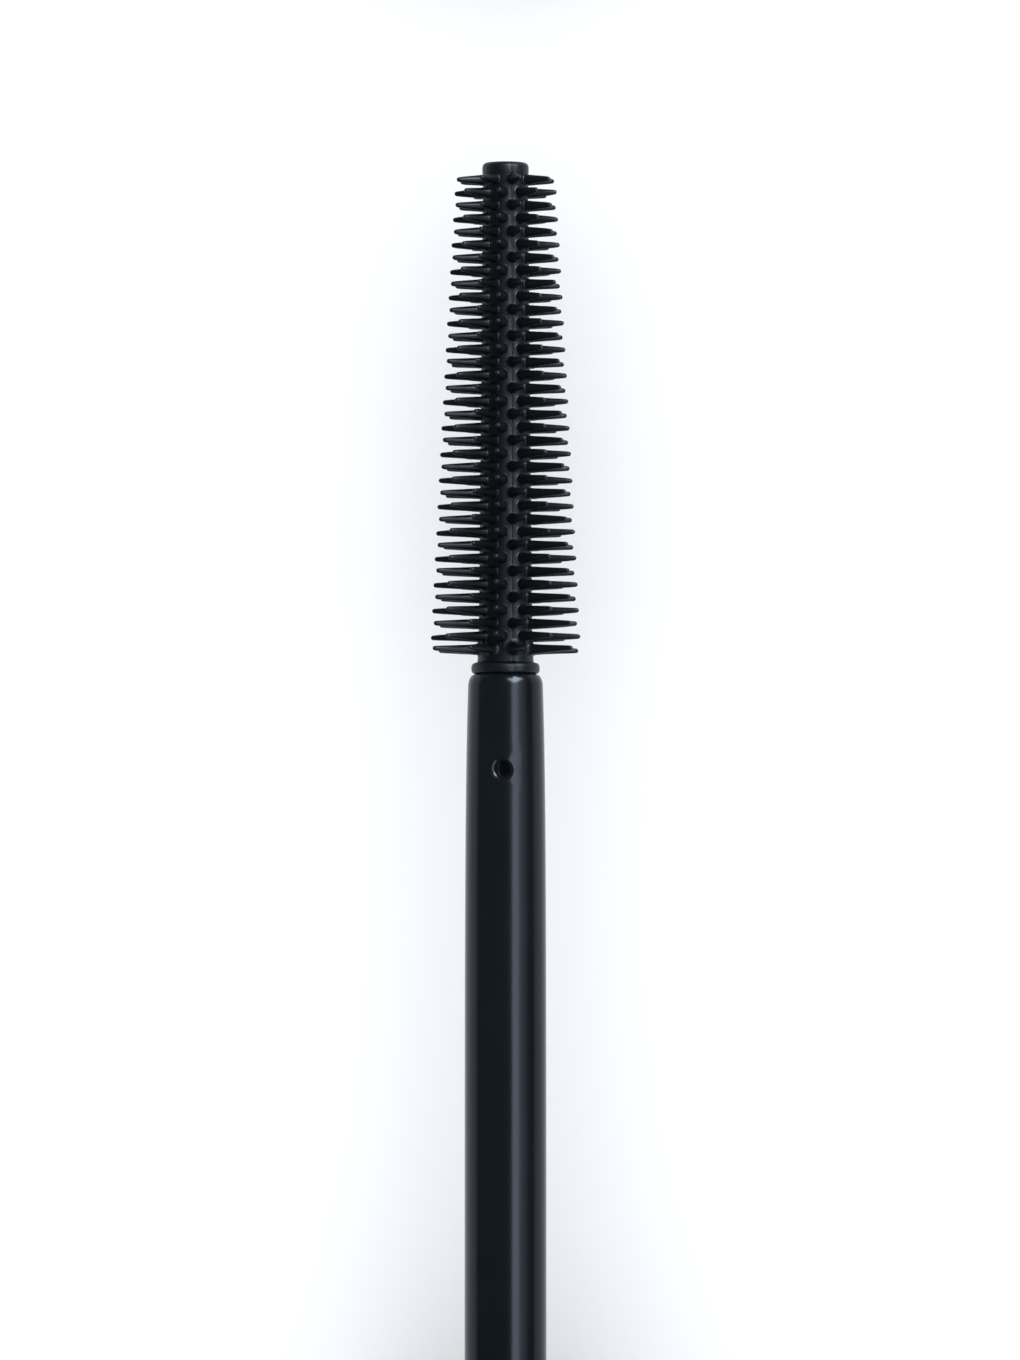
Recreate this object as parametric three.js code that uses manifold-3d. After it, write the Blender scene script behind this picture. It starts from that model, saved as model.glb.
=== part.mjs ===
// A mascara: a screw-necked tube and its applicator, lying on one line with the applicator drawn out.
// Everything is turned about one long axis, which runs along +Y from the cap's closed end to the
// tube's base. The pieces lie on a table at z = 0, and the middle of their length is at y = 0.
// Millimetres. Stations along the axis are measured from the cap's closed end, with the tube's
// pieces modelled where they are when the mascara is shut and then moved out together.
import * as THREE from "three";
import { mergeGeometries, mergeVertices } from "three/addons/utils/BufferGeometryUtils.js";
import Module from "manifold-3d";

const wasm = await Module();
wasm.setup();

// ---- driving dimensions ----------------------------------------------------------------------

const FACETS = 36; // flats round each turned piece
const BRISTLE_SIDES = 3;
const VENT_SIDES = 16;
const ROUNDING_STEPS = 3;
const HALF_FACET = Math.PI / FACETS; // turns each piece so that it lies on a flat

// clearances
const PRESS_GAP = 0.05; // round a piece that is pressed or glued in
const RUN_GAP = 0.2; // between pieces that move on each other
const FACE_GAP = 0.1; // between end faces that meet
const MOUTH_GAP = 0.3; // the shut line between cap and tube
const TIP_GAP = 1.8; // from the brush's tip to the bottle's floor when shut
const DRAWN_GAP = 11; // from the brush's tip to the tube's lip when drawn out

// brush
const ROWS = 37;
const ROW_PITCH = 0.6855;
const BRISTLES_PER_ROW = 8;
const FIRST_BRISTLE = THREE.MathUtils.degToRad(16.5); // of the row next to the stem, from +Z to +X
const BASE_ROW = 1.27; // from the stem's end to the row next to it
const BEYOND_ROWS = 0.95; // from the last row to the tip
const BRUSH_RADIUS = 3.9; // over the bristles of the row next to the stem
const BRUSH_TIP_RADIUS = 2.65; // over the bristles of the last row
const BRISTLE_START = 0.83; // from the axis, buried in the core
const BRISTLE_ROOT = 0.25;
const BRISTLE_TIP = 0.115;
const CORE_RADIUS = 1.4;
const CORE_TIP_RADIUS = 1.185;
const CORE_FOOT_RADIUS = 1.47;
const TIP_ROUND = 0.3;
const RING_RADIUS = 1.77; // the brush's own stop ring, against the stem's end
const RING_THICKNESS = 0.52;
const RING_ROUND = 0.18;
const TAIL_RADIUS = 1.1;
const TAIL_LENGTH = 6.2;
const TAIL_LEAD_IN = 0.4;

// stem
const STEM_RADIUS = 2.1;
const STEM_REACH = 40; // from the cap's mouth to the stem's end
const STEM_END_RADIUS = 1.93;
const STEM_TAPER = 12;
const STEM_ROUND = 0.25;
const SOCKET_FLOOR_GAP = 0.8; // past the brush's tail
const VENT_RADIUS = 0.5;
const VENT_STATION = 4.95; // back from the stem's end
const VENT_ANGLE = THREE.MathUtils.degToRad(-3); // from +Z to +X

// cap
const CAP_LENGTH = 36;
const CASE_WALL = 1.05; // of the cap's shell and the tube's shell alike
const EDGE_CHAMFER = 0.6;
const END_WALL = 1.6;
const DISC_RADIUS = 6.6;
const DISC_THICKNESS = 0.75;
const WEIGHT_LENGTH = 6;
const TRIM_LENGTH = 2.4;
const INNER_CAP_WALL = 1.1;
const CEILING = 1.6;
const SPIGOT_LENGTH = 7; // of the stem's holder behind the ceiling
const SPIGOT_WALL = 1.6;
const SPIGOT_FLOOR = 1;
const BOSS_LENGTH = 5; // of the plug in front of the ceiling
const BOSS_WALL = 0.85;
const WASHER_THICKNESS = 0.8;

// thread, with two starts
const STARTS = 2;
const LEAD = 4;
const THREAD_DEPTH = 0.6;
const THREAD_ROOT_WIDTH = 0.95;
const THREAD_CREST_WIDTH = 0.55;
const THREAD_TURNS = 1.25;
const THREAD_BITE = 0.15; // how far a ridge reaches into its wall
const THREAD_FROM_LIP = 2.2;

// tube
const NECK_LENGTH = 11;
const NECK_WALL = 0.95;
const COLLAR_THICKNESS = 1;
const SHOULDER_THICKNESS = 1.4;
const BOTTLE_WALL = 1.1;
const BOTTLE_FLOOR = 1.2;
const BASE_THICKNESS = 1.2;
const PLUG_LENGTH = 1.6;
const LABEL_RADIUS = 6;
const LABEL_THICKNESS = 0.2;
const LABEL_RECESS = 0.3;

// wiper
const WIPER_FLANGE = 0.8;
const WIPER_WALL = 0.8;
const WIPER_LENGTH = 6.5;
const WIPER_LIP_LENGTH = 2.4;
const WIPER_LIP_WALL = 0.35;

// ---- radii that follow, from the axis outwards ------------------------------------------------

const socketRadius = TAIL_RADIUS + PRESS_GAP;
const holderRadius = STEM_RADIUS + PRESS_GAP;
const bossRadius = holderRadius + BOSS_WALL;
const spigotRadius = holderRadius + SPIGOT_WALL;
const wiperBore = bossRadius + RUN_GAP;
const orificeRadius = STEM_RADIUS + PRESS_GAP;
const neckBore = Math.max(BRUSH_RADIUS + RUN_GAP, wiperBore + WIPER_WALL + PRESS_GAP);
const neckRadius = neckBore + NECK_WALL;
const threadRadius = neckRadius + THREAD_DEPTH;
const capThreadRadius = threadRadius + RUN_GAP; // the wall that the cap's own ridges stand on
const innerCapRadius = capThreadRadius + INNER_CAP_WALL;
const shellBore = innerCapRadius + PRESS_GAP;
const caseRadius = shellBore + CASE_WALL;
const bottleRadius = shellBore - PRESS_GAP;
const cavityRadius = bottleRadius - BOTTLE_WALL;

// ---- stations that follow, from the cap's closed end ------------------------------------------

const mouth = CAP_LENGTH;
const shoulder = mouth + MOUTH_GAP;
const lip = shoulder - NECK_LENGTH;
const flangeTop = lip - WIPER_FLANGE;
const washerFace = flangeTop - FACE_GAP;
const ceiling = washerFace - WASHER_THICKNESS - FACE_GAP;
const spigotEnd = ceiling - CEILING - SPIGOT_LENGTH;
const discSeat = DISC_THICKNESS + 2 * FACE_GAP;
const shellFloor = discSeat + END_WALL;
const stemEnd = mouth + STEM_REACH;
const brushRows = (ROWS - 1) * ROW_PITCH;
const brushTip = stemEnd + BASE_ROW + brushRows + BEYOND_ROWS;
const cavityFloor = brushTip + TIP_GAP;
const bottleEnd = cavityFloor + BOTTLE_FLOOR;
const shellEnd = bottleEnd + FACE_GAP + PLUG_LENGTH;
const tubeEnd = shellEnd + BASE_THICKNESS;
const drawOut = brushTip + DRAWN_GAP - flangeTop;

// ---- materials --------------------------------------------------------------------------------

const material = (color, roughness, metalness = 0) =>
  new THREE.MeshStandardMaterial({ color, roughness, metalness });
const elastomer = material(0x17191c, 0.55);
const stemPlastic = material(0x15181d, 0.25);
const glossBlack = material(0x101216, 0.15);
const mouldedBlack = material(0x1b1d20, 0.5);
const gunmetal = material(0x54575d, 0.3, 1);
const steel = material(0x9a9ca0, 0.4, 1);
const naturalPlastic = material(0xe4e4df, 0.5);
const foam = material(0xf0f0ec, 0.85);
const labelFilm = material(0xd9dadc, 0.6);

// ---- shape helpers ----------------------------------------------------------------------------

/** A piece turned about Y from corners [radius, station, rounding]: axis to axis, or a closed ring. */
function turned(corners, closed = false, facets = FACETS, phase = HALF_FACET) {
  const at = corners.map(([r, y]) => new THREE.Vector2(r, y));
  const path = new THREE.Path();
  corners.forEach(([, , round = 0], i) => {
    const before = at[(i + at.length - 1) % at.length];
    const after = at[(i + 1) % at.length];
    const reach = (end) => at[i].clone().add(end.clone().sub(at[i]).setLength(round));
    const enter = round ? reach(before) : at[i];
    if (i) path.lineTo(enter.x, enter.y);
    else path.moveTo(enter.x, enter.y);
    if (!round) return;
    const leave = reach(after);
    path.quadraticCurveTo(at[i].x, at[i].y, leave.x, leave.y);
  });
  if (closed) path.closePath();
  return new THREE.LatheGeometry(path.getPoints(ROUNDING_STEPS), facets, phase);
}

/** A ring closed on itself, between two radii and two stations. */
function ring(inner, outer, from, to, round = 0) {
  return turned([[inner, from], [outer, from, round], [outer, to, round], [inner, to]], true);
}

/** The manifold-3d solid of a closed geometry. */
function solid(geometry) {
  const bare = geometry.clone();
  bare.deleteAttribute("normal");
  bare.deleteAttribute("uv");
  const merged = mergeVertices(bare, 1e-4);
  return new wasm.Manifold(
    new wasm.Mesh({
      numProp: 3,
      vertProperties: merged.attributes.position.array,
      triVerts: new Uint32Array(merged.index.array),
    }),
  );
}

/** The geometry of a manifold-3d solid. */
function geometryOf(made) {
  const { vertProperties, triVerts } = made.getMesh();
  const geometry = new THREE.BufferGeometry();
  geometry.setAttribute("position", new THREE.BufferAttribute(vertProperties, 3));
  geometry.setIndex(new THREE.BufferAttribute(triVerts, 1));
  const flat = geometry.toNonIndexed();
  flat.computeVertexNormals();
  return flat;
}

/** A right-hand helical ridge whose section widens or narrows from its inner to its outer radius. */
function ridge(inner, outer, from, startAngle) {
  const bar = new THREE.BoxGeometry(1, 1, 1, 1, 1, Math.round(THREAD_TURNS * FACETS));
  const at = bar.attributes.position;
  for (let i = 0; i < at.count; i++) {
    const across = at.getX(i) + 0.5;
    const turns = (0.5 - at.getZ(i)) * THREAD_TURNS; // keeps the faces pointing out
    const radius = THREE.MathUtils.lerp(inner.radius, outer.radius, across);
    const width = THREE.MathUtils.lerp(inner.width, outer.width, across);
    const angle = startAngle + turns * 2 * Math.PI;
    const y = from + LEAD * turns + at.getY(i) * width;
    at.setXYZ(i, radius * Math.sin(angle), y, radius * Math.cos(angle));
  }
  return bar;
}

/** A solid with the thread's ridges added, one for each start. */
function threaded(made, inner, outer, from) {
  let result = made;
  for (let start = 0; start < STARTS; start++) {
    const angle = (start * 2 * Math.PI) / STARTS;
    result = result.add(solid(ridge(inner, outer, from, angle)));
  }
  return result;
}

// ---- applicator -------------------------------------------------------------------------------

/** One bristle, pointing out from the axis at an angle from +Z towards +X. */
function bristle(station, angle, reach) {
  const length = reach - BRISTLE_START;
  const taper = new THREE.CylinderGeometry(BRISTLE_TIP, BRISTLE_ROOT, length, BRISTLE_SIDES);
  taper.translate(0, BRISTLE_START + length / 2, 0);
  taper.rotateX(Math.PI / 2);
  taper.rotateY(angle);
  taper.translate(0, station, 0);
  return taper;
}

/** The moulded brush: a tapered core with its rows of bristles, stop ring and tail, all in one. */
function brush() {
  const firstRow = stemEnd + BASE_ROW;
  const ringFrom = stemEnd + PRESS_GAP;
  const ringTo = ringFrom + RING_THICKNESS;
  const tailEnd = stemEnd - TAIL_LENGTH;
  const coreFlats = 2 * BRISTLES_PER_ROW; // one under each line of bristles
  const core = turned([
    [0, tailEnd],
    [TAIL_RADIUS - TAIL_LEAD_IN / 2, tailEnd],
    [TAIL_RADIUS, tailEnd + TAIL_LEAD_IN],
    [TAIL_RADIUS, ringFrom],
    [RING_RADIUS, ringFrom, RING_ROUND],
    [RING_RADIUS, ringTo, RING_ROUND],
    [CORE_FOOT_RADIUS, ringTo],
    [CORE_RADIUS, firstRow],
    [CORE_TIP_RADIUS, firstRow + brushRows],
    [CORE_TIP_RADIUS, brushTip, TIP_ROUND],
    [0, brushTip],
  ], false, coreFlats, FIRST_BRISTLE + Math.PI / coreFlats);
  const step = (2 * Math.PI) / BRISTLES_PER_ROW;
  const bristles = [];
  for (let row = 0; row < ROWS; row++) {
    const reach = THREE.MathUtils.lerp(BRUSH_RADIUS, BRUSH_TIP_RADIUS, row / (ROWS - 1));
    const first = FIRST_BRISTLE + (row % 2) * (step / 2);
    for (let i = 0; i < BRISTLES_PER_ROW; i++) {
      bristles.push(bristle(firstRow + row * ROW_PITCH, first + i * step, reach));
    }
  }
  return geometryOf(solid(core).add(solid(mergeGeometries(bristles))));
}

/** The stem: a rod with a slightly tapered end, a socket for the brush's tail and a vent into it. */
function stem() {
  const socketFloor = stemEnd - TAIL_LENGTH - SOCKET_FLOOR_GAP;
  const rod = turned([
    [0, spigotEnd + SPIGOT_FLOOR + FACE_GAP],
    [STEM_RADIUS, spigotEnd + SPIGOT_FLOOR + FACE_GAP],
    [STEM_RADIUS, stemEnd - STEM_TAPER],
    [STEM_END_RADIUS, stemEnd, STEM_ROUND],
    [socketRadius, stemEnd],
    [socketRadius, socketFloor],
    [0, socketFloor],
  ]);
  const vent = new THREE.CylinderGeometry(VENT_RADIUS, VENT_RADIUS, 2 * STEM_RADIUS, VENT_SIDES);
  vent.translate(0, STEM_RADIUS, 0);
  vent.rotateX(Math.PI / 2);
  vent.rotateY(VENT_ANGLE);
  vent.translate(0, stemEnd - VENT_STATION, 0);
  return geometryOf(solid(rod).subtract(solid(vent)));
}

/** The inner cap: a cup with the female thread, whose centre holds the stem and plugs the wiper. */
function innerCap() {
  const bossEnd = ceiling + BOSS_LENGTH;
  const skirtEnd = mouth - FACE_GAP;
  const cup = turned([
    [0, spigotEnd],
    [spigotRadius, spigotEnd],
    [spigotRadius, ceiling - CEILING],
    [innerCapRadius, ceiling - CEILING],
    [innerCapRadius, skirtEnd],
    [capThreadRadius, skirtEnd],
    [capThreadRadius, ceiling],
    [bossRadius, ceiling],
    [bossRadius, bossEnd],
    [holderRadius, bossEnd],
    [holderRadius, spigotEnd + SPIGOT_FLOOR],
    [0, spigotEnd + SPIGOT_FLOOR],
  ]);
  const crest = { radius: neckRadius + RUN_GAP, width: THREAD_CREST_WIDTH };
  const root = { radius: capThreadRadius + THREAD_BITE, width: THREAD_ROOT_WIDTH };
  const betweenTurns = lip + THREAD_FROM_LIP + LEAD / STARTS / 2;
  return geometryOf(threaded(solid(cup), crest, root, betweenTurns));
}

/** The cap's outer shell, with a seat for the end disc and an open end that meets the trim ring. */
function capShell() {
  return turned([
    [0, discSeat],
    [DISC_RADIUS + PRESS_GAP, discSeat],
    [DISC_RADIUS + PRESS_GAP, 0],
    [caseRadius - EDGE_CHAMFER, 0],
    [caseRadius, EDGE_CHAMFER],
    [caseRadius, mouth - TRIM_LENGTH - FACE_GAP],
    [shellBore, mouth - TRIM_LENGTH - FACE_GAP],
    [shellBore, shellFloor],
    [0, shellFloor],
  ]);
}

/** A plain disc between two stations. */
function disc(radius, from, to) {
  return turned([[0, from], [radius, from], [radius, to], [0, to]]);
}

// ---- tube -------------------------------------------------------------------------------------

/** The bottle: a threaded neck on a blind cylindrical body. */
function bottle() {
  const bodyFrom = shoulder + COLLAR_THICKNESS + FACE_GAP;
  const body = turned([
    [0, cavityFloor],
    [cavityRadius, cavityFloor],
    [cavityRadius, bodyFrom + SHOULDER_THICKNESS],
    [neckBore, bodyFrom + SHOULDER_THICKNESS],
    [neckBore, lip],
    [neckRadius, lip],
    [neckRadius, bodyFrom],
    [bottleRadius, bodyFrom],
    [bottleRadius, bottleEnd],
    [0, bottleEnd],
  ]);
  const root = { radius: neckRadius - THREAD_BITE, width: THREAD_ROOT_WIDTH };
  const crest = { radius: threadRadius, width: THREAD_CREST_WIDTH };
  return geometryOf(threaded(solid(body), root, crest, lip + THREAD_FROM_LIP));
}

/** The wiper: a flanged sleeve in the neck, closing to a thin lip that scrapes the stem. */
function wiper() {
  const sleeveRadius = neckBore - PRESS_GAP;
  const lipFrom = lip + WIPER_LENGTH;
  const lipTo = lipFrom + WIPER_LIP_LENGTH;
  return turned([
    [wiperBore, flangeTop],
    [neckRadius, flangeTop],
    [neckRadius, lip - PRESS_GAP],
    [sleeveRadius, lip - PRESS_GAP],
    [sleeveRadius, lipFrom],
    [orificeRadius + WIPER_LIP_WALL, lipTo],
    [orificeRadius, lipTo],
    [wiperBore, lipFrom],
  ], true);
}

/** The base: a flanged plug for the shell's open end, with a shallow seat for the label. */
function base() {
  return turned([
    [0, bottleEnd + FACE_GAP],
    [shellBore - PRESS_GAP, bottleEnd + FACE_GAP],
    [shellBore - PRESS_GAP, shellEnd + FACE_GAP],
    [caseRadius, shellEnd + FACE_GAP],
    [caseRadius, tubeEnd - EDGE_CHAMFER],
    [caseRadius - EDGE_CHAMFER, tubeEnd],
    [LABEL_RADIUS + PRESS_GAP, tubeEnd],
    [LABEL_RADIUS + PRESS_GAP, tubeEnd - LABEL_RECESS],
    [0, tubeEnd - LABEL_RECESS],
  ]);
}

// ---- assembly ---------------------------------------------------------------------------------

/** Adds one named mesh to a group. */
function add(group, name, geometry, finish) {
  const mesh = new THREE.Mesh(geometry, finish);
  mesh.name = name;
  group.add(mesh);
}

const applicator = new THREE.Group();
add(applicator, "brush", brush(), elastomer);
add(applicator, "stem", stem(), stemPlastic);
add(applicator, "inner_cap", innerCap(), mouldedBlack);
add(applicator, "cap_shell", capShell(), glossBlack);
add(applicator, "cap_end_disc", disc(DISC_RADIUS, FACE_GAP, FACE_GAP + DISC_THICKNESS), gunmetal);
const weightFrom = shellFloor + FACE_GAP;
const weight = disc(shellBore - PRESS_GAP, weightFrom, weightFrom + WEIGHT_LENGTH);
add(applicator, "cap_weight", weight, steel);
add(applicator, "cap_trim_ring", ring(shellBore, caseRadius, mouth - TRIM_LENGTH, mouth), gunmetal);
const washer = ring(
  bossRadius + RUN_GAP,
  neckRadius,
  washerFace - WASHER_THICKNESS,
  washerFace,
);
add(applicator, "seal_washer", washer, foam);

const tube = new THREE.Group();
add(tube, "bottle", bottle(), mouldedBlack);
add(tube, "wiper", wiper(), naturalPlastic);
const collarTo = shoulder + COLLAR_THICKNESS;
const collar = ring(neckRadius + PRESS_GAP, shellBore - PRESS_GAP, shoulder, collarTo);
add(tube, "neck_collar", collar, gunmetal);
add(tube, "tube_shell", ring(shellBore, caseRadius, shoulder, shellEnd), glossBlack);
add(tube, "base_plug", base(), mouldedBlack);
const labelFrom = tubeEnd - LABEL_RECESS + PRESS_GAP;
add(tube, "base_label", disc(LABEL_RADIUS, labelFrom, labelFrom + LABEL_THICKNESS), labelFilm);
tube.position.y = drawOut;

const mascara = new THREE.Group();
mascara.add(applicator, tube);
mascara.position.set(0, -(drawOut + tubeEnd) / 2, caseRadius);

export default mascara;
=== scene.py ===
"""A mascara lying open on a pale table, its applicator drawn straight out of its tube."""

import math
import random

import bpy
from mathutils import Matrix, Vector


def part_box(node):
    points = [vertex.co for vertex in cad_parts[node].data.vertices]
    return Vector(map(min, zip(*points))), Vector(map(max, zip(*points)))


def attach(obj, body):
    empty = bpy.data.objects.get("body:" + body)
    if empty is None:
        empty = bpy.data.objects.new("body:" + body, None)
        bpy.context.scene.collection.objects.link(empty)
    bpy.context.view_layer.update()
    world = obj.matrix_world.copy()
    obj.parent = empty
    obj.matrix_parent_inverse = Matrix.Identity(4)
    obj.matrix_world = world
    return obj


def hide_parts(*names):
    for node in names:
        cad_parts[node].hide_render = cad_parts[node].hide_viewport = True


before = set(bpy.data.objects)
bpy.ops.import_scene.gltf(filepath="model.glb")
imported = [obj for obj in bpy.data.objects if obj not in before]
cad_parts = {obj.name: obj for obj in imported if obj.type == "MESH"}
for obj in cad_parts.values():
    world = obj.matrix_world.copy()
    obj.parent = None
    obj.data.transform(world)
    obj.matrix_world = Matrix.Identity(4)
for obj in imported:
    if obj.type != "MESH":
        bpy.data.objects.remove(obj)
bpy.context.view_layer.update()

MM = 0.001
random.seed(11)


# ---- Camera -----------------------------------------------------------------------------------
# The camera hangs over the stem and looks down on the brush, tilted a few degrees towards it,
# from far enough away that the rows of bristles hardly spread.

stem_low, stem_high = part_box("stem")
brush_low, brush_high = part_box("brush")
tube_low, tube_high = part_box("tube_shell")
AXIS = (tube_low.z + tube_high.z) / 2  # height of everything's common axis
STEM_END = stem_high.y
FRAME_HEIGHT = 71.24 * MM  # what the view takes in along its long side, at the axis
FRAME_MIDDLE = Vector((0.235 * MM, STEM_END - 0.28 * MM, AXIS))
CAMERA_RISE = 670 * MM
FILM = 36  # the camera's own millimetres
CAMERA_BACK = 23.7 * MM  # from the middle of the view towards the cap

camera_data = bpy.data.cameras.new("camera")
camera = bpy.data.objects.new("camera", camera_data)
camera.location = FRAME_MIDDLE + Vector((0, -CAMERA_BACK, CAMERA_RISE))
camera.rotation_euler = (math.atan2(CAMERA_BACK, CAMERA_RISE), 0, 0)
camera_data.sensor_fit = "AUTO"
camera_data.sensor_width = FILM
camera_data.lens = FILM * math.hypot(CAMERA_RISE, CAMERA_BACK) / FRAME_HEIGHT
camera_data.clip_start = 0.01
camera_data.clip_end = 20
bpy.context.scene.collection.objects.link(camera)
bpy.context.scene.camera = camera
bpy.context.scene.view_settings.view_transform = "Standard"
bpy.context.scene.view_settings.look = "None"


# ---- Brush ------------------------------------------------------------------------------------
# One injection moulding in black thermoplastic elastomer: a tapered core with rows of bristles,
# each row turned half a step from the last, a stop ring, and a tail that is glued in the stem.

class Value:
    """A shader socket that takes part in Python sums; each sum adds its Math node."""

    def __init__(self, finish, socket):
        self.finish = finish
        self.socket = socket

    def math(self, operation, *others):
        inputs = dict(enumerate((self, *others)))
        return self.finish.node("ShaderNodeMath", {"operation": operation}, inputs)

    def __add__(self, other):
        return self.math("ADD", other)

    def __mul__(self, other):
        return self.math("MULTIPLY", other)

    def __sub__(self, other):
        return self.math("SUBTRACT", other)

    def __rsub__(self, other):
        return (self * -1) + other

    __radd__ = __add__
    __rmul__ = __mul__

    def within(self, low, high):
        """1 above high, 0 below low, and a smooth rise between them."""
        inputs = {"Value": self, "From Min": low, "From Max": high}
        return self.finish.node("ShaderNodeMapRange", {"interpolation_type": "SMOOTHSTEP"}, inputs)


class Finish:
    """A material in the making: a Principled shader, and the nodes that vary it."""

    def __init__(self, name, color, roughness, **constants):
        self.material = bpy.data.materials.new(name)
        self.material.use_nodes = True
        self.tree = self.material.node_tree
        self.shader = self.tree.nodes["Principled BSDF"]
        self.shader.inputs["Base Color"].default_value = (*color, 1)
        self.shader.inputs["Roughness"].default_value = roughness
        for socket, value in constants.items():
            self.shader.inputs[socket.replace("_", " ")].default_value = value

    def node(self, kind, settings, inputs, output=0):
        """Adds a node: its settings first, then a value or a link for each socket named."""
        made = self.tree.nodes.new(kind)
        for name, value in settings.items():
            setattr(made, name, value)
        for name, value in inputs.items():
            self.feed(made.inputs[name], value)
        return Value(self, made.outputs[output])

    def feed(self, socket, value):
        if isinstance(value, Value):
            self.tree.links.new(value.socket, socket)
        else:
            socket.default_value = value

    def place(self, stretch=(1, 1, 1)):
        """Millimetres on the piece, stretched; a piece carries them with it when it moves."""
        spot = self.node("ShaderNodeTexCoord", {}, {}, "Object")
        grow = tuple(1000 * share for share in stretch)
        return self.node("ShaderNodeVectorMath", {"operation": "MULTIPLY"}, {0: spot, 1: grow})

    def noise(self, size, stretch=(1, 1, 1), detail=3):
        """Soft mottling from 0 to 1, with patches of about this size in millimetres."""
        inputs = {"Vector": self.place(stretch), "Scale": 1 / size, "Detail": detail}
        return self.node("ShaderNodeTexNoise", {}, inputs)

    def from_axis(self):
        """Distance from the mascara's axis, and distance along it, in millimetres."""
        parts = self.node("ShaderNodeSeparateXYZ", {}, {"Vector": self.place()})
        x, y, z = (Value(self, out) for out in parts.socket.node.outputs)
        height = z - AXIS / MM
        return (x * x + height * height).math("SQRT"), y

    def tint(self, dark, light, share):
        """A colour between two, mixed by share."""
        settings = {"data_type": "RGBA"}
        inputs = {"Factor": share, 6: (*dark, 1), 7: (*light, 1)}
        return self.node("ShaderNodeMix", settings, inputs, 2)

    def vary(self, **sockets):
        for name, value in sockets.items():
            self.feed(self.shader.inputs[name.replace("_", " ")], value)

    def emboss(self, height, depth):
        """Raises the surface by height, from 0 to 1, times depth in millimetres."""
        inputs = {"Height": height, "Distance": depth * MM, "Strength": 1.0}
        self.vary(Normal=self.node("ShaderNodeBump", {}, inputs))


def rounded(corners, steps=6):
    """Corners [radius, station, rounding] in millimetres, as points with the corners rounded."""
    spots = [Vector((r, y)) for r, y, *_ in corners]
    points = []
    for i, (_, _, *extra) in enumerate(corners):
        reach = extra[0] if extra else 0
        if not reach:
            points.append(spots[i])
            continue
        enter = spots[i] + (spots[i - 1] - spots[i]).normalized() * reach
        leave = spots[i] + (spots[(i + 1) % len(spots)] - spots[i]).normalized() * reach
        for step in range(steps + 1):
            t = step / steps
            points.append(enter * (1 - t) ** 2 + spots[i] * 2 * t * (1 - t) + leave * t ** 2)
    return points


def turned(outline, start, sides=128, swell=None):
    """Vertices and faces of an outline of (radius, station) turned about the axis.

    The outline runs from axis to axis, or else it is closed on itself. swell(angle) adds to
    the radius of what is turned, in millimetres.
    """
    closed = outline[0].x > 1e-6
    vertices, faces, rows = [], [], []
    for radius, station in outline:
        if radius < 1e-6:
            rows.append([len(vertices)] * sides)
            vertices.append((0, start + station * MM, AXIS))
            continue
        rows.append(list(range(len(vertices), len(vertices) + sides)))
        for side in range(sides):
            angle = 2 * math.pi * side / sides
            out = (radius + (swell(angle) if swell else 0)) * MM
            vertices.append((out * math.sin(angle), start + station * MM, AXIS + out * math.cos(angle)))
    pairs = list(zip(rows, rows[1:])) + ([(rows[-1], rows[0])] if closed else [])
    for low, high in pairs:
        for side in range(sides):
            after = (side + 1) % sides
            corners = dict.fromkeys((low[side], low[after], high[after], high[side]))
            if len(corners) > 2:
                faces.append(tuple(corners))
    return vertices, faces


def piece(name, parts, body, node, material):
    """One object made of several lots of vertices and faces, standing for a CAD node."""
    vertices, faces = [], []
    for lot_vertices, lot_faces in parts:
        first = len(vertices)
        vertices += lot_vertices
        faces += [tuple(first + corner for corner in face) for face in lot_faces]
    mesh = bpy.data.meshes.new(name)
    mesh.from_pydata(vertices, [], faces)
    mesh.shade_smooth()
    mesh.set_sharp_from_angle(angle=math.radians(38))
    mesh.materials.append(material)
    made = bpy.data.objects.new(name, mesh)
    bpy.context.scene.collection.objects.link(made)
    even = made.modifiers.new("even_shading", "WEIGHTED_NORMAL")
    even.keep_sharp = True
    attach(made, body)
    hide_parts(node)
    return made


ROWS = 37
ROW_PITCH = 0.6855
FIRST_ROW = 1.27  # from the stem's end
FIRST_ROW_LIFT = 0.046  # what the mould lifts the first row by
LIFT_FADE = 1.5  # rows over which that fades
BRISTLES_PER_ROW = 8
EVEN_ROW_TURN = 16.7  # degrees from straight up, towards +X
ODD_ROW_TURN = -7.2
CORE_FOOT, CORE_TIP = 1.40, 1.18
REACH_FOOT, REACH_MIDDLE, REACH_TIP = 3.98, 3.355, 2.665
BRISTLE_ROOT, BRISTLE_TIP = 0.272, 0.128
ROOT_FILLET = 0.09
FOOT_FLARE = 0.28  # the first row's fillet, which runs down into the neck
ROOT_SINK = 0.2  # how far a bristle's mesh starts inside the core
BRISTLE_LEAN = 0.022  # how far tips stray along the brush, and round it
BRISTLE_SWAY = 0.018
BRISTLE_SIDES = 14
CORE_SIDES = 360
PARTING_LINE = math.radians(17.5)
PARTING_WIDTH = math.radians(1.7)
PARTING_HEIGHT = 0.022
RING_RADIUS, RING_BACK, RING_FRONT = 1.79, 0.03, 0.62
NECK_RADIUS = 1.47  # between the stop ring and the first row
TAIL_RADIUS = 1.1
BUTTON_RADIUS = CORE_TIP + 0.04
BUTTON_FACE = 0.8


def core_radius(share):
    return CORE_FOOT + (CORE_TIP - CORE_FOOT) * share


def bristle_reach(share):
    """How far bristles stand from the axis: a slightly bowed taper from foot to tip."""
    bow = 4 * (REACH_MIDDLE - (REACH_FOOT + REACH_TIP) / 2)
    return REACH_FOOT + (REACH_TIP - REACH_FOOT) * share + bow * share * (1 - share)


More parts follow.
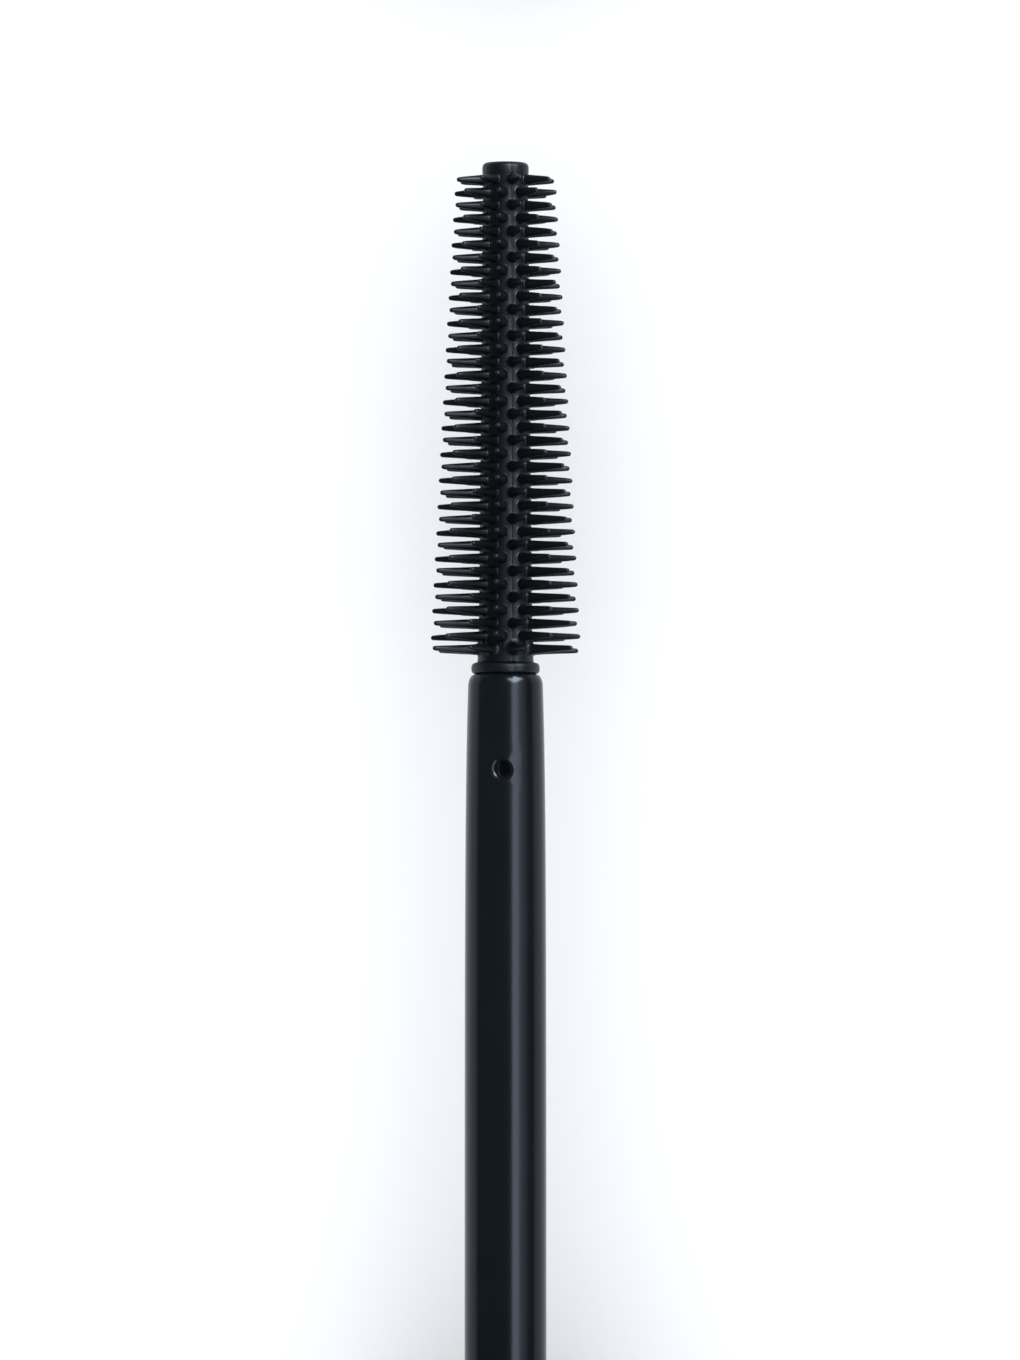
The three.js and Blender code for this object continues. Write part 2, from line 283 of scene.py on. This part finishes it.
def bristle(station, turn, root, reach, fillet):
    """A tapered, round-ended bristle with a small fillet where it leaves the core."""
    length = reach - root
    lean = random.gauss(0, BRISTLE_LEAN)
    sway = random.gauss(0, BRISTLE_SWAY)
    rings = [(-ROOT_SINK, BRISTLE_ROOT + fillet)]
    for share in (0, 0.15, 0.5, 1):
        hollow = 1 - math.sqrt(1 - (1 - share) ** 2)
        rings.append((share * fillet, BRISTLE_ROOT + hollow * fillet))
    for share in (0.3, 0.55, 0.8):
        rings.append((share * length, BRISTLE_ROOT + (BRISTLE_TIP - BRISTLE_ROOT) * share))
    for lift in (0, 30, 60):
        dome = math.radians(lift)
        rings.append((length - BRISTLE_TIP * (1 - math.sin(dome)), BRISTLE_TIP * math.cos(dome)))
    outwards = Vector((math.sin(turn), 0, math.cos(turn)))
    sideways = Vector((math.cos(turn), 0, -math.sin(turn)))
    along = Vector((0, 1, 0))
    middle = Vector((0, STEM_END + station * MM, AXIS))
    vertices, faces = [], []
    for out, radius in rings:
        bend = (max(out, 0) / length) ** 2
        heart = outwards * (root + out) + along * lean * bend + sideways * sway * bend
        for side in range(BRISTLE_SIDES):
            angle = 2 * math.pi * side / BRISTLE_SIDES
            rim = sideways * math.cos(angle) * radius + along * math.sin(angle) * radius
            vertices.append(middle + (heart + rim) * MM)
    for ring in range(len(rings) - 1):
        for side in range(BRISTLE_SIDES):
            a = ring * BRISTLE_SIDES + side
            b = ring * BRISTLE_SIDES + (side + 1) % BRISTLE_SIDES
            faces.append((a, b, b + BRISTLE_SIDES, a + BRISTLE_SIDES))
    tip = outwards * reach + along * lean + sideways * sway
    vertices.append(middle + tip * MM)
    last = (len(rings) - 1) * BRISTLE_SIDES
    for side in range(BRISTLE_SIDES):
        faces.append((last + side, last + (side + 1) % BRISTLE_SIDES, len(vertices) - 1))
    faces.append(tuple(reversed(range(BRISTLE_SIDES))))
    return vertices, faces


def parting_line(angle):
    """A hairline of flash where the two halves of the mould met."""
    from_line = (angle - PARTING_LINE + math.pi / 2) % math.pi - math.pi / 2
    return PARTING_HEIGHT * math.exp(-((from_line / PARTING_WIDTH) ** 2))


brush_length = (brush_high.y - STEM_END) / MM
brush_tail = (brush_low.y - STEM_END) / MM
core_outline = rounded([
    (0, brush_tail),
    (TAIL_RADIUS, brush_tail, 0.35),
    (TAIL_RADIUS, RING_BACK),
    (RING_RADIUS, RING_BACK, 0.24),
    (RING_RADIUS, RING_FRONT, 0.26),
    (NECK_RADIUS, RING_FRONT, 0.1),
    (NECK_RADIUS - 0.01, FIRST_ROW - 0.25, 0.1),
    (CORE_FOOT, FIRST_ROW + 0.3),
    (CORE_TIP, brush_length - 0.75, 0.1),
    (BUTTON_RADIUS, brush_length - 0.55, 0.1),
    (BUTTON_RADIUS, brush_length - 0.06, 0.26),
    (BUTTON_FACE, brush_length, 0.2),
    (0, brush_length),
])
brush_parts = [turned(core_outline, STEM_END, CORE_SIDES, parting_line)]
for row in range(ROWS):
    share = row / (ROWS - 1)
    first_turn = ODD_ROW_TURN if row % 2 else EVEN_ROW_TURN
    for number in range(BRISTLES_PER_ROW):
        turn = math.radians(first_turn + number * 360 / BRISTLES_PER_ROW)
        root, reach = core_radius(share), bristle_reach(share)
        station = FIRST_ROW + row * ROW_PITCH + FIRST_ROW_LIFT * math.exp(-row / LIFT_FADE)
        fillet = FOOT_FLARE if row == 0 else ROOT_FILLET
        brush_parts.append(bristle(station, turn, root, reach, fillet))

elastomer = Finish("brush_elastomer", (0.006, 0.0073, 0.0096), 0.4, Specular_IOR_Level=0.2,
                   Specular_Tint=(0.68, 0.81, 1.0, 1.0))
grain = elastomer.noise(0.1)
bloom = elastomer.noise(1.6)
elastomer.vary(Base_Color=elastomer.tint((0.0038, 0.0046, 0.006), (0.0062, 0.0072, 0.0092), bloom))
elastomer.vary(Roughness=grain * 0.12 + bloom * 0.08 + 0.29)
elastomer.emboss(grain, 0.011)
piece("brush_moulding", brush_parts, "applicator", "brush", elastomer.material)


# ---- Stem -------------------------------------------------------------------------------------
# A slim rod moulded in glossy blue-black plastic, a little thinner towards its open end, where
# the brush's tail is glued in. A small round vent with a soft rim opens into that socket.

STEM_BODY = 2.14
STEM_NARROWING = 0.20
NARROWING_LENGTH = 5.5
END_ROUND, END_INSET = 0.6, 0.285
SOCKET = 1.15
SOCKET_DEPTH = 7
VENT_BACK = 4.97  # from the stem's end
VENT_TURN = math.radians(-4.4)
VENT_RADIUS = 0.45
VENT_RIM = 0.18  # width of the rim's soft edge, on average
VENT_UNEVEN = 0.6  # how much wider than that it is on one side
VENT_WIDEST = math.radians(125)  # from +X round towards the cap
VENT_EDGE = [(1.2, 0.0), (1.0, 0.0), (0.88, 0.03), (0.3, 0.44), (0.12, 0.62), (0.03, 0.82),
             (0.0, 1.1)]  # (out from the hole, depth), as shares of the rim's width
VENT_DEPTH = 0.8
STEM_SIDES = 132
END_STEPS = 10  # rings of the mesh over the rounded end
NECK_STEPS = 6  # and from there to the vent
LONG_STEPS = 24  # and from the vent to the root
PATCH_CELLS = 10  # half the width of the square round the vent, in cells of the stem's mesh


def stem_radius(back):
    """Radius at a distance back from the end: a faint flare, and a rounded end."""
    radius = STEM_BODY - STEM_NARROWING * math.exp(-back / NARROWING_LENGTH)
    if back < END_ROUND:
        radius -= END_INSET * (1 - math.sqrt(1 - (1 - back / END_ROUND) ** 2))
    return radius


def stem_spot(turn, back, sink=0.0):
    out = (stem_radius(back) - sink) * MM
    return (out * math.sin(turn), STEM_END - back * MM, AXIS + out * math.cos(turn))


def stem_mesh():
    """The stem's skin as a grid, with a round sunk vent let into a square patch of it."""
    step = 2 * math.pi / STEM_SIDES
    cell = step * stem_radius(VENT_BACK)
    half = PATCH_CELLS * cell
    root = (STEM_END - stem_low.y) / MM
    backs = [END_ROUND * (1 - math.cos(math.pi / 2 * i / END_STEPS)) for i in range(END_STEPS + 1)]
    backs += [END_ROUND + (VENT_BACK - half - END_ROUND) * i / NECK_STEPS for i in range(1, NECK_STEPS)]
    first_row = len(backs)
    backs += [VENT_BACK - half + cell * i for i in range(2 * PATCH_CELLS + 1)]
    last_row = len(backs) - 1
    after_vent = VENT_BACK + half
    for i in range(1, LONG_STEPS + 1):
        backs.append(after_vent + (root - VENT_BACK - half) * (i / LONG_STEPS) ** 1.5)
    vertices, faces = [], []
    for back in backs:
        for side in range(STEM_SIDES):
            vertices.append(stem_spot(VENT_TURN + (side - PATCH_CELLS) * step, back))

    def corner(row, side):
        return row * STEM_SIDES + side % STEM_SIDES

    for row in range(len(backs) - 1):
        for side in range(STEM_SIDES):
            if first_row <= row < last_row and side < 2 * PATCH_CELLS:
                continue
            faces.append((corner(row, side), corner(row, side + 1),
                          corner(row + 1, side + 1), corner(row + 1, side)))

    wide = 2 * PATCH_CELLS
    edge = [(first_row, side) for side in range(wide)]
    edge += [(first_row + row, wide) for row in range(wide)]
    edge += [(last_row, wide - side) for side in range(wide)]
    edge += [(last_row - row, 0) for row in range(wide)]
    ring = [corner(row, side) for row, side in edge]
    middle = PATCH_CELLS
    bearings = [math.atan2(row - first_row - middle, side - middle) for row, side in edge]
    bottom = VENT_DEPTH / VENT_RIM
    for across, down in VENT_EDGE + [(-0.2, bottom * 0.6), (-0.3, bottom)]:
        inner = list(range(len(vertices), len(vertices) + len(ring)))
        for bearing in bearings:
            rim = VENT_RIM * (1 + VENT_UNEVEN * math.cos(bearing - VENT_WIDEST))
            radius = VENT_RADIUS + rim * across
            sink = VENT_RIM * down
            turn = VENT_TURN + radius * math.cos(bearing) / stem_radius(VENT_BACK)
            back = VENT_BACK + radius * math.sin(bearing)
            vertices.append(stem_spot(turn, back, sink))
        for i in range(len(ring)):
            j = (i + 1) % len(ring)
            faces.append((ring[i], ring[j], inner[j], inner[i]))
        ring = inner
    faces.append(tuple(ring))

    def lid(row, outline):
        """Closes the skin at a row with a turned outline of (radius, back), ending on the axis."""
        last = [corner(row, side) for side in range(STEM_SIDES)]
        for radius, back in outline:
            if radius == 0:
                vertices.append((0, STEM_END - back * MM, AXIS))
                for side in range(STEM_SIDES):
                    after = (side + 1) % STEM_SIDES
                    faces.append((last[side], last[after], len(vertices) - 1))
                return
            inner = list(range(len(vertices), len(vertices) + STEM_SIDES))
            for side in range(STEM_SIDES):
                turn = VENT_TURN + (side - PATCH_CELLS) * step
                out = radius * MM
                vertices.append((out * math.sin(turn), STEM_END - back * MM,
                                 AXIS + out * math.cos(turn)))
            for side in range(STEM_SIDES):
                after = (side + 1) % STEM_SIDES
                faces.append((last[side], last[after], inner[after], inner[side]))
            last = inner

    lid(0, [(SOCKET + 0.1, 0), (SOCKET, 0.1), (SOCKET, SOCKET_DEPTH), (0, SOCKET_DEPTH)])
    lid(len(backs) - 1, [(0, root)])
    return vertices, faces


stem_plastic = Finish("stem_plastic", (0.0058, 0.008, 0.01), 0.2, Specular_IOR_Level=0.165,
                      Sheen_Weight=0.12, Sheen_Roughness=0.3, Sheen_Tint=(0.25, 0.18, 1.0, 1.0),
                      Specular_Tint=(0.7, 0.82, 1.0, 1.0))
drawn = stem_plastic.noise(0.35, stretch=(1, 0.04, 1), detail=4)
haze = stem_plastic.noise(3.0)
shade = stem_plastic.tint((0.0044, 0.0062, 0.0078), (0.0062, 0.0084, 0.0104), haze)
stem_plastic.vary(Base_Color=shade)
stem_plastic.vary(Roughness=drawn * 0.05 + haze * 0.05 + 0.15)
stem_plastic.emboss(drawn, 0.0015)
piece("stem_rod", [stem_mesh()], "applicator", "stem", stem_plastic.material)


# ---- Inner cap --------------------------------------------------------------------------------
# A black polypropylene cup inside the cap: its wall carries the thread, and its middle holds
# the stem's root and plugs the wiper's mouth. It is one moulding, glued into the outer cap.

SIDES = 144
CAD_FLATS = 36
PLAY = 0.2  # between pieces that move on each other
REST_GAP = 0.1  # between the faces of pieces that lie against each other
PRESS = 0.05  # round a piece that is pressed or glued in
CUP_WALL = 1.1
BOSS_WALL = 0.85
SPIGOT_WALL = 1.6
BOSS_LENGTH = 5
CEILING_THICKNESS = 1.6
THREAD_LEAD = 4
THREAD_DEPTH = 0.57
THREAD_STARTS = 2
THREAD_TURNS = 1.25
THREAD_FADE = 0.07  # of a turn, at each end
THREAD_BITE = 0.06  # how far the ridges' mesh starts inside the wall
THREAD_SECTION = [(0, -0.47), (0.55, -0.36), (0.9, -0.27), (1, -0.18), (1, 0.18), (0.9, 0.27),
                  (0.55, 0.36), (0, 0.47)]  # (share of the ridge's height, place across it)
CAP_THREAD_START = 4.1  # from the washer


def ridges(start, wall, crest, first):
    """The thread's ridges: rounded, standing from a wall to a crest, and run out at both ends."""
    steps = int(THREAD_TURNS * SIDES)
    bite = THREAD_BITE if crest > wall else -THREAD_BITE
    parts = []
    for number in range(THREAD_STARTS):
        vertices, faces = [], []
        for step in range(steps + 1):
            turns = THREAD_TURNS * step / steps
            fade = min(1, turns / THREAD_FADE, (THREAD_TURNS - turns) / THREAD_FADE)
            height = math.sin(math.pi / 2 * fade)
            angle = 2 * math.pi * (turns + number / THREAD_STARTS)
            for share, across in THREAD_SECTION:
                out = (wall - bite + (crest - wall + bite) * share * height) * MM
                y = start + (first + THREAD_LEAD * turns + across) * MM
                vertices.append((out * math.sin(angle), y, AXIS + out * math.cos(angle)))
        count = len(THREAD_SECTION)
        for step in range(steps):
            for i in range(count):
                j = (i + 1) % count
                a, b = step * count, (step + 1) * count
                face = (a + i, a + j, b + j, b + i)
                faces.append(face if crest > wall else tuple(reversed(face)))
        ends = [tuple(reversed(range(count))), tuple(range(steps * count, (steps + 1) * count))]
        faces += ends if crest > wall else [tuple(reversed(end)) for end in ends]
        parts.append((vertices, faces))
    return parts


def radius_of(node):
    """A turned CAD piece's radius in millimetres, out to the corners between its flats."""
    low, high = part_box(node)
    return (high.x - low.x) / 2 / math.cos(math.pi / CAD_FLATS) / MM


def span_of(node, origin):
    """Where a piece begins and ends along the axis, in millimetres from an origin."""
    low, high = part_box(node)
    return (low.y - origin) / MM, (high.y - origin) / MM


CAP_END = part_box("cap_shell")[0].y
cup_back, cup_rim = span_of("inner_cap", CAP_END)
washer_from, washer_to = span_of("seal_washer", CAP_END)
ceiling = washer_from - REST_GAP
cup_radius = radius_of("inner_cap")
thread_wall = cup_radius - CUP_WALL
holder = radius_of("stem") + PRESS
boss, spigot = holder + BOSS_WALL, holder + SPIGOT_WALL
cup_outline = rounded([
    (0, cup_back),
    (spigot, cup_back, 0.3),
    (spigot, ceiling - CEILING_THICKNESS, 0.3),
    (cup_radius, ceiling - CEILING_THICKNESS, 0.3),
    (cup_radius, cup_rim, 0.25),
    (thread_wall, cup_rim, 0.3),
    (thread_wall, ceiling, 0.3),
    (boss, ceiling, 0.25),
    (boss, ceiling + BOSS_LENGTH, 0.35),
    (holder, ceiling + BOSS_LENGTH, 0.12),
    (holder, cup_back + 1),
    (0, cup_back + 1),
])
moulded = Finish("moulded_black", (0.012, 0.0125, 0.014), 0.42)
spark = moulded.noise(0.09)
flow = moulded.noise(4.0)
moulded.vary(Base_Color=moulded.tint((0.010, 0.0105, 0.012), (0.017, 0.0175, 0.019), flow))
moulded.vary(Roughness=spark * 0.16 + flow * 0.08 + 0.3)
moulded.emboss(spark, 0.008)
cup_parts = [turned(cup_outline, CAP_END, SIDES)]
cup_parts += ridges(CAP_END, thread_wall, thread_wall - THREAD_DEPTH, washer_to + CAP_THREAD_START)
piece("inner_cup", cup_parts, "applicator", "inner_cap", moulded.material)


# ---- Cap's outer sleeve -----------------------------------------------------------------------
# The part that is held: a closed sleeve in high-gloss black plastic, pressed over the inner
# cap. Its closed end is recessed for a metal disc, and its open end stops at the trim ring.

END_WALL = 1.6
CASE_WALL = 1.05
BAND_GAP = 0.08  # between the sleeve and the trim ring
outside = radius_of("cap_shell")
bore = outside - CASE_WALL
disc_from, disc_to = span_of("cap_end_disc", CAP_END)
disc_radius = radius_of("cap_end_disc")
disc_seat = disc_to + REST_GAP
band_from, band_to = span_of("cap_trim_ring", CAP_END)
cap_outline = rounded([
    (0, disc_seat),
    (disc_radius + PRESS, disc_seat),
    (disc_radius + PRESS, 0, 0.12),
    (outside, 0, 0.75),
    (outside, band_from - BAND_GAP, 0.12),
    (bore, band_from - BAND_GAP),
    (bore, disc_seat + END_WALL, 0.4),
    (0, disc_seat + END_WALL),
], 8)
gloss = Finish("gloss_black", (0.006, 0.0065, 0.008), 0.07, Coat_Weight=0.35, Coat_Roughness=0.03)
ripple = gloss.noise(5.0, detail=1)
touch = gloss.noise(7.0, detail=5)
scuff = gloss.noise(0.5, stretch=(1, 0.12, 1), detail=6).within(0.56, 0.74)
gloss.vary(Base_Color=gloss.tint((0.0055, 0.006, 0.0075), (0.0085, 0.009, 0.0105), touch))
gloss.vary(Roughness=touch * 0.07 + scuff * 0.05 + 0.05)
gloss.emboss(ripple + scuff * 0.04, 0.004)
piece("cap_sleeve", [turned(cap_outline, CAP_END, SIDES)], "applicator", "cap_shell",
      gloss.material)


# ---- Cap's end disc and trim ring -------------------------------------------------------------
# Dark anodised aluminium, turned on a lathe, which leaves fine rings: a disc glued in the cap's
# closed end, and a band round its mouth that covers the edge of the sleeve.

turned_metal = Finish("gunmetal", (0.13, 0.136, 0.15), 0.27, Metallic=1.0)
from_axis, station = turned_metal.from_axis()
rings = (from_axis * 55 + station * 40).math("SINE") * 0.5 + 0.5
wear = turned_metal.noise(0.9, detail=5)
turned_metal.vary(Base_Color=turned_metal.tint((0.105, 0.11, 0.122), (0.17, 0.176, 0.19), wear))
turned_metal.vary(Roughness=wear * 0.16 + rings * 0.05 + 0.17)
turned_metal.emboss(rings * (wear * 0.6 + 0.4), 0.0025)

DISH = 0.14
disc_outline = rounded([
    (0, disc_from + DISH),
    (disc_radius - 1.4, disc_from + DISH, 0.3),
    (disc_radius - 1.0, disc_from, 0.15),
    (disc_radius, disc_from, 0.14),
    (disc_radius, disc_to, 0.1),
    (0, disc_to),
])
piece("cap_disc", [turned(disc_outline, CAP_END, SIDES)], "applicator", "cap_end_disc",
      turned_metal.material)

GROOVE = 0.1
band_outline = rounded([
    (bore, band_from),
    (outside, band_from, 0.12),
    (outside, band_to - 0.62, 0.05),
    (outside - GROOVE, band_to - 0.56, 0.03),
    (outside - GROOVE, band_to - 0.46, 0.03),
    (outside, band_to - 0.40, 0.05),
    (outside, band_to, 0.16),
    (bore, band_to, 0.12),
])
piece("cap_band", [turned(band_outline, CAP_END, SIDES)], "applicator", "cap_trim_ring",
      turned_metal.material)


# ---- Cap's weight -----------------------------------------------------------------------------
# A plain turned steel slug behind the inner cap, which gives the cap its heft. It is out of
# sight, so the CAD solid stays, with a turned finish.

steel = Finish("steel", (0.45, 0.46, 0.47), 0.38, Metallic=1.0)
from_axis, station = steel.from_axis()
tooling = (from_axis * 24 + station * 24).math("SINE") * 0.5 + 0.5
steel.vary(Roughness=tooling * 0.12 + steel.noise(1.5) * 0.12 + 0.28)
steel.emboss(tooling, 0.006)
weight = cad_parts["cap_weight"]
weight.data.materials.clear()
weight.data.materials.append(steel.material)


# ---- Seal washer ------------------------------------------------------------------------------
# A punched ring of white polyethylene foam that lies loose on the inner cap's ceiling, where
# the tube's lip presses on it. Its faces show the foam's fine closed cells.

neck = radius_of("seal_washer")  # it covers the lip of the tube's neck
washer_outline = rounded([
    (boss + PLAY, washer_from, 0.1),
    (neck, washer_from, 0.12),
    (neck, washer_to, 0.16),
    (boss + PLAY, washer_to, 0.16),
])
foam = Finish("foam", (0.8, 0.79, 0.74), 0.8, Subsurface_Weight=0.15, Subsurface_Scale=0.0006)
cells = foam.node("ShaderNodeTexVoronoi", {}, {"Vector": foam.place(), "Scale": 5.0})
foam.vary(Base_Color=foam.tint((0.68, 0.67, 0.62), (0.86, 0.85, 0.8), cells.within(0.0, 0.5)))
foam.vary(Roughness=cells * 0.2 + 0.7)
foam.emboss(cells, 0.03)
piece("liner", [turned(washer_outline, CAP_END, SIDES)], "seal", "seal_washer",
      foam.material)


# ---- Bottle -----------------------------------------------------------------------------------
# The inner container, blow-moulded in black polypropylene: a round body under the outer sleeve
# and a neck with a two-start thread. Only the neck is seen.

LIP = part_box("bottle")[0].y
NECK_WALL = 0.95
BOTTLE_WALL = 1.1
BOTTLE_FLOOR = 1.2
SHOULDER_THICKNESS = 1.4
BEAD = 0.07  # how far the rounded bead round the lip stands out
BEAD_END, GROOVE_END = 0.85, 1.6
NECK_THREAD_START = 2.2  # from the lip
collar_from, collar_to = span_of("neck_collar", LIP)
shoulder = collar_to + REST_GAP
bottle_end = span_of("bottle", LIP)[1]
bottle = radius_of("bottle")
neck_bore = neck - NECK_WALL
cavity = bottle - BOTTLE_WALL
bottle_outline = rounded([
    (0, bottle_end - BOTTLE_FLOOR),
    (cavity, bottle_end - BOTTLE_FLOOR, 0.8),
    (cavity, shoulder + SHOULDER_THICKNESS, 0.8),
    (neck_bore, shoulder + SHOULDER_THICKNESS, 0.3),
    (neck_bore, 0, 0.1),
    (neck, 0, 0.16),
    (neck, BEAD_END, 0.1),
    (neck - BEAD, BEAD_END + 0.1, 0.1),
    (neck - BEAD, GROOVE_END - 0.1, 0.1),
    (neck, GROOVE_END, 0.1),
    (neck, shoulder, 0.1),
    (bottle, shoulder, 0.4),
    (bottle, bottle_end, 0.8),
    (0, bottle_end),
])
bottle_parts = [turned(bottle_outline, LIP, SIDES)]
bottle_parts += ridges(LIP, neck, neck + THREAD_DEPTH, NECK_THREAD_START)
piece("bottle_moulding", bottle_parts, "tube", "bottle", moulded.material)


# ---- Wiper ------------------------------------------------------------------------------------
# A soft natural-coloured polyethylene insert pressed into the neck. Its flange lies on the lip,
# and its thin inner lip scrapes the stem as it is drawn out.

LIP_WALL = 0.35
LIP_LENGTH = 2.4
wiper_from, wiper_to = span_of("wiper", LIP)
orifice = radius_of("stem") + PRESS
wiper_outline = rounded([
    (boss + PLAY, wiper_from, 0.25),
    (neck, wiper_from, 0.22),
    (neck, -PRESS, 0.1),
    (neck_bore - PRESS, -PRESS, 0.1),
    (neck_bore - PRESS, wiper_to - LIP_LENGTH, 0.5),
    (orifice + LIP_WALL, wiper_to, 0.1),
    (orifice, wiper_to, 0.08),
    (boss + PLAY, wiper_to - LIP_LENGTH, 0.6),
])
natural = Finish("natural_plastic", (0.74, 0.73, 0.68), 0.34, Subsurface_Weight=0.5,
                 Subsurface_Scale=0.0012)
cloud = natural.noise(1.4)
natural.vary(Base_Color=natural.tint((0.68, 0.67, 0.62), (0.8, 0.79, 0.74), cloud))
natural.vary(Roughness=cloud * 0.15 + 0.27)
natural.emboss(natural.noise(0.2), 0.006)
piece("wiper_insert", [turned(wiper_outline, LIP, SIDES)], "tube", "wiper",
      natural.material)


# ---- Neck collar ------------------------------------------------------------------------------
# A turned washer in the same dark aluminium as the cap's band. It lies on the bottle's shoulder
# inside the sleeve's edge, so that the shut mascara shows a thin line of metal.

collar = radius_of("neck_collar")
collar_outline = rounded([
    (neck + PRESS, collar_from, 0.08),
    (collar, collar_from, 0.14),
    (collar, collar_to, 0.08),
    (neck + PRESS, collar_to, 0.08),
])
piece("collar_plate", [turned(collar_outline, LIP, SIDES)], "tube", "neck_collar",
      turned_metal.material)


# ---- Tube's outer sleeve ----------------------------------------------------------------------
# The long body that is held: a straight sleeve in the cap's high-gloss black plastic, glued
# over the bottle, with softly broken edges at both ends.

sleeve_from, sleeve_to = span_of("tube_shell", LIP)
sleeve_outline = rounded([
    (bore, sleeve_from, 0.1),
    (outside, sleeve_from, 0.22),
    (outside, sleeve_to, 0.12),
    (bore, sleeve_to, 0.1),
], 8)
piece("tube_sleeve", [turned(sleeve_outline, LIP, SIDES)], "tube", "tube_shell",
      gloss.material)


# ---- Base plug --------------------------------------------------------------------------------
# The foot: a black moulded disc whose spigot is glued into the sleeve. A shallow recess in its
# face takes the label, and the rim round it is what the shut mascara stands on.

RECESS = 0.3
base_from, base_to = span_of("base_plug", LIP)
label_radius = radius_of("base_label")
base_outline = rounded([
    (0, base_from),
    (bore - PRESS, base_from, 0.4),
    (bore - PRESS, sleeve_to + REST_GAP, 0.05),
    (outside, sleeve_to + REST_GAP, 0.1),
    (outside, base_to, 0.6),
    (label_radius + PRESS, base_to, 0.12),
    (label_radius + PRESS, base_to - RECESS),
    (0, base_to - RECESS),
])
piece("base_foot", [turned(base_outline, LIP, SIDES)], "tube", "base_plug",
      moulded.material)


# ---- Base label -------------------------------------------------------------------------------
# A blank round sticker of matt silver-grey film in the base's recess, with its edge rolled
# down by the applicator that laid it.

label_from, label_to = span_of("base_label", LIP)
label_outline = rounded([
    (0, label_from),
    (label_radius, label_from),
    (label_radius, label_to, 0.09),
    (0, label_to),
])
film = Finish("label_film", (0.36, 0.365, 0.38), 0.5, Metallic=0.35)
paper = film.noise(0.25, detail=4)
film.vary(Base_Color=film.tint((0.33, 0.335, 0.35), (0.4, 0.405, 0.42), paper))
film.vary(Roughness=paper * 0.2 + 0.42)
film.emboss(paper, 0.006)
piece("base_sticker", [turned(label_outline, LIP, SIDES)], "tube", "base_label",
      film.material)


# ---- Floor and light --------------------------------------------------------------------------
# A plain white table under an even pale sky. The sky is dark to reflections, as in a studio
# hung with black, so that the gloss pieces show only the softbox and the table round them.

FLOOR_REACH = 9
FLOOR_DROP = 0.02 * MM  # clear of the round sleeves that lie on it
corners = [(-1, -1), (1, -1), (1, 1), (-1, 1)]
floor_mesh = bpy.data.meshes.new("floor")
floor_mesh.from_pydata([(FLOOR_REACH * x, FLOOR_REACH * y, 0) for x, y in corners], [],
                       [(0, 1, 2, 3)])
floor = bpy.data.objects.new("floor", floor_mesh)
floor.location.z = -FLOOR_DROP
bpy.context.scene.collection.objects.link(floor)
table_white = Finish("table_white", (0.9, 0.9, 0.9), 0.9, Specular_IOR_Level=0.0)
floor_mesh.materials.append(table_white.material)

SKY = 1.4
SKY_IN_REFLECTIONS = 0.02
world = bpy.data.worlds.new("sky")
bpy.context.scene.world = world
world.use_nodes = True
sky = world.node_tree
background = sky.nodes["Background"]
rays = sky.nodes.new("ShaderNodeLightPath")
strength = sky.nodes.new("ShaderNodeMapRange")
sky.links.new(rays.outputs["Is Glossy Ray"], strength.inputs["Value"])
strength.inputs["To Min"].default_value = SKY
strength.inputs["To Max"].default_value = SKY_IN_REFLECTIONS
sky.links.new(strength.outputs[0], background.inputs["Strength"])
background.inputs["Color"].default_value = (0.935, 0.967, 1, 1)


LIGHT_DISTANCE = 0.9


def softbox(name, lean, swing, width, length, power):
    """A rectangular light seen only in reflections, aimed at the stem's end.

    It leans from straight up, towards +X or, by its swing, round to +Y.
    """
    data = bpy.data.lights.new(name, "AREA")
    data.shape = "RECTANGLE"
    data.size = width
    data.size_y = length
    data.energy = power
    made = bpy.data.objects.new(name, data)
    towards = Vector((math.sin(lean) * math.cos(swing), math.sin(lean) * math.sin(swing),
                      math.cos(lean)))
    made.location = Vector((0, STEM_END, AXIS)) + towards * LIGHT_DISTANCE
    made.rotation_euler = (0, lean, swing)
    made.visible_diffuse = False
    bpy.context.scene.collection.objects.link(made)
    return data


# The long softbox beside the brush fades outwards from its upper edge.
side = softbox("side", math.radians(43.5), 0, 0.82, 2.8, 62)
side.use_nodes = True
grid = side.node_tree
place = grid.nodes.new("ShaderNodeNewGeometry")
across = grid.nodes.new("ShaderNodeSeparateXYZ")
falloff = grid.nodes.new("ShaderNodeValToRGB")
falloff.color_ramp.interpolation = "EASE"
for stop, share in ((0.32, 0.88), (0.5, 0.27), (0.84, 0.13)):
    falloff.color_ramp.elements.new(stop).color = (share, share, share, 1)
falloff.color_ramp.elements[0].color = (1, 1, 1, 1)
falloff.color_ramp.elements[-1].color = (0.04, 0.04, 0.04, 1)
grid.links.new(place.outputs["Parametric"], across.inputs[0])
grid.links.new(across.outputs["X"], falloff.inputs[0])
grid.links.new(falloff.outputs[0], grid.nodes["Emission"].inputs["Strength"])
# The small one behind the brush catches the stem's rounded end and the vent's rim.
softbox("back", math.radians(49), math.radians(53), 0.55, 0.45, 23)
